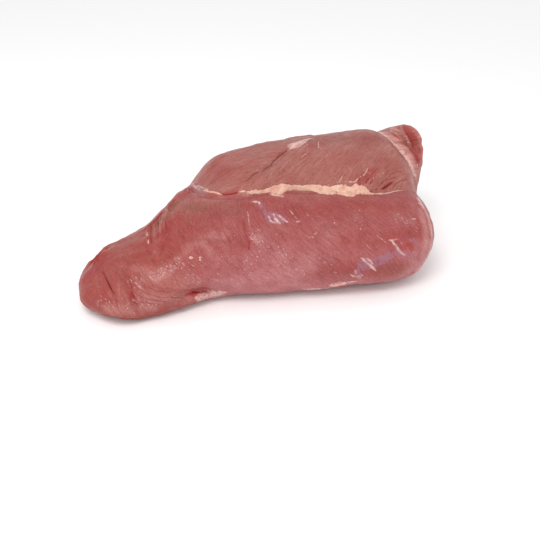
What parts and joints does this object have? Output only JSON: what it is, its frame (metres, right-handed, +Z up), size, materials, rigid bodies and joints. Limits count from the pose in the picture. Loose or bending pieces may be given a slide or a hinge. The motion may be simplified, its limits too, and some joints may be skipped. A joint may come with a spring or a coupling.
{
  "type": "raw meat joint",
  "caption": "Raw boneless veal bottom round: a long muscle with a tail, a shorter muscle behind it, a rolled end and fat in the seam.",
  "frame": {"origin": "centre of the bounding box in X and Y, on the flat underside", "axes": "+Z up, +X along the meat from its thin tail to its thick end, -Y the front, where the longer muscle lies"},
  "size_m": [0.3526, 0.1894, 0.1064],
  "materials": {
    "flesh": "raw veal, moist, pinkish red with fine grain along the muscle",
    "fat": "cream fat, moist and uneven"
  },
  "bodies": {
    "root": {"meat": "flesh", "seam_fat": "fat"}
  },
  "joints": []
}
